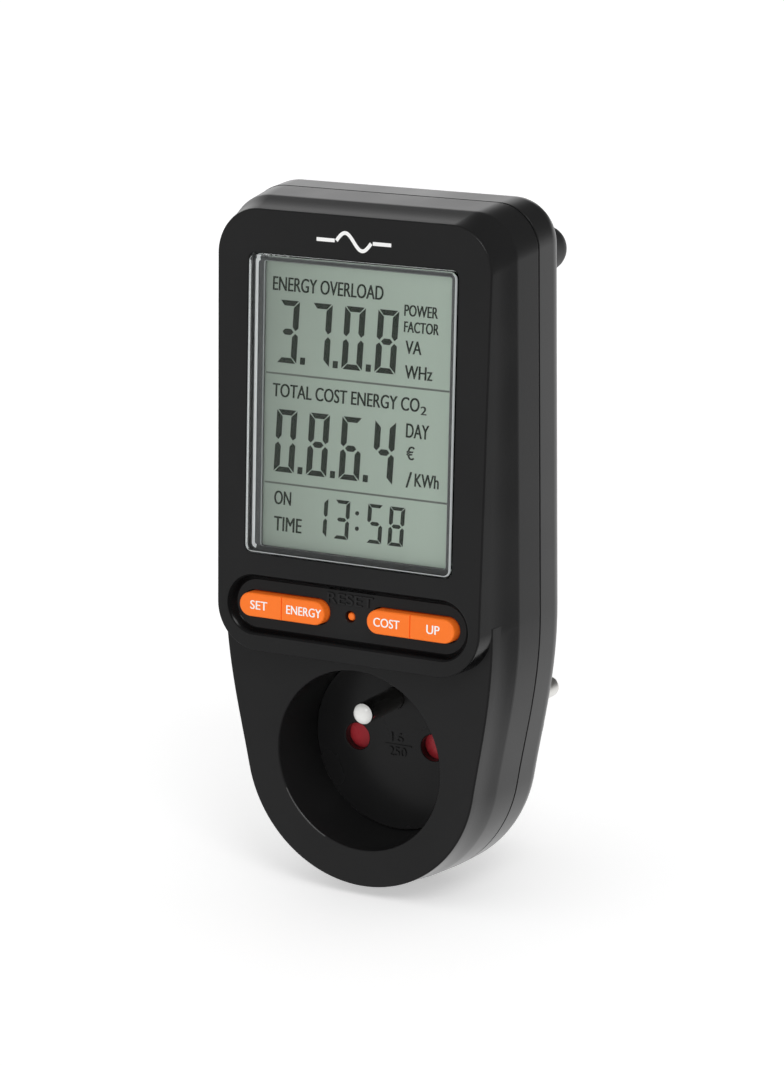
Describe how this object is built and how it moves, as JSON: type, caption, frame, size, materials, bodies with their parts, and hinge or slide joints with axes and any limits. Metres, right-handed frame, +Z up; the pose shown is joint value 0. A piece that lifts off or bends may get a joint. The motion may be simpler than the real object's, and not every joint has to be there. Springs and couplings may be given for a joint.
{
  "type": "plug-in power meter",
  "caption": "Plug-in mains power meter with a tilted display console, push keys, a shuttered front socket and a rear plug with an earth contact.",
  "frame": {"origin": "centre of the end face of the rear plug's boss, between its two pins", "axes": "+Y out of the plug's face into the wall, +Z up towards the display, +X to the right seen from the front"},
  "size_m": [0.0712, 0.0759, 0.1513],
  "materials": {
    "black_plastic": "fine satin moulded ABS",
    "black_gloss": "smooth moulded",
    "orange_key": "smooth moulded with printed legends",
    "red_shutter": "smooth moulded",
    "clear_lens": "polished clear plastic",
    "lcd_glass": "grey-green reflective display",
    "board_green": "solder resist",
    "nickel": "nickel plated brass",
    "brass": "stamped brass",
    "steel": "zinc plated steel",
    "copper_alloy": "resistance alloy wire",
    "rubber": "smooth soft rubber",
    "grey_rubber": "silicone",
    "chip_black": "moulded",
    "cap_yellow": "moulded case",
    "cap_blue": "coated",
    "cell_green": "heat-shrink sleeve",
    "base_grey": "moulded"
  },
  "bodies": {
    "case": {"front_housing": "black_plastic", "rear_housing": "black_plastic", "plug_base": "black_plastic", "display_lens": "clear_lens", "lcd_frame": "chip_black", "lcd_panel": "lcd_glass", "contact_strip": "grey_rubber", "display_board": "board_green", "board_screw_left": "steel", "board_screw_right": "steel", "controller_chip": "chip_black", "timing_crystal": "steel", "backup_battery": "cell_green", "set_switch": "chip_black", "energy_switch": "chip_black", "cost_switch": "chip_black", "up_switch": "chip_black", "reset_switch": "chip_black", "power_board": "board_green", "power_screw_left": "steel", "power_screw_right": "steel", "film_capacitor": "cap_yellow", "smoothing_capacitor": "cap_blue", "surge_varistor": "cap_blue", "current_shunt": "copper_alloy", "board_link": "chip_black", "socket_insert": "black_gloss", "contact_base": "base_grey", "socket_contact_left": "brass", "socket_contact_right": "brass", "earth_pin": "nickel", "earth_strap": "brass", "shutter_spring": "steel", "plug_pin_left": "nickel", "plug_pin_right": "nickel", "plug_earth_contact": "brass", "earth_clip_top": "nickel", "earth_clip_bottom": "nickel", "spacer_foot_left": "rubber", "spacer_foot_right": "rubber", "case_screw_top_left": "steel", "case_screw_top_right": "steel", "case_screw_bottom_left": "steel", "case_screw_bottom_right": "steel"},
    "set_key": {"set_key": "orange_key", "set_switch_plunger": "grey_rubber"},
    "energy_key": {"energy_key": "orange_key", "energy_switch_plunger": "grey_rubber"},
    "cost_key": {"cost_key": "orange_key", "cost_switch_plunger": "grey_rubber"},
    "up_key": {"up_key": "orange_key", "up_switch_plunger": "grey_rubber"},
    "reset_key": {"reset_key": "orange_key", "reset_switch_plunger": "grey_rubber"},
    "shutter": {"shutter": "red_shutter"}
  },
  "joints": [
    {"name": "set_key_press", "type": "slide", "parent": "case", "child": "set_key", "axis": [0, 0.9979, -0.0654], "range_m": [0, 0.0005], "stiffness_N_per_m": 1500, "springref_m": -0.0004},
    {"name": "energy_key_press", "type": "slide", "parent": "case", "child": "energy_key", "axis": [0, 0.9979, -0.0654], "range_m": [0, 0.0005], "stiffness_N_per_m": 1500, "springref_m": -0.0004},
    {"name": "cost_key_press", "type": "slide", "parent": "case", "child": "cost_key", "axis": [0, 0.9979, -0.0654], "range_m": [0, 0.0005], "stiffness_N_per_m": 1500, "springref_m": -0.0004},
    {"name": "up_key_press", "type": "slide", "parent": "case", "child": "up_key", "axis": [0, 0.9979, -0.0654], "range_m": [0, 0.0005], "stiffness_N_per_m": 1500, "springref_m": -0.0004},
    {"name": "reset_key_press", "type": "slide", "parent": "case", "child": "reset_key", "axis": [0, 0.9979, -0.0654], "range_m": [0, 0.0005], "stiffness_N_per_m": 1500, "springref_m": -0.0004},
    {"name": "shutter_slide", "type": "slide", "parent": "case", "child": "shutter", "axis": [0, 0, -1], "range_m": [0, 0.007], "stiffness_N_per_m": 60, "springref_m": -0.008, "deforming": ["shutter_spring"]}
  ]
}
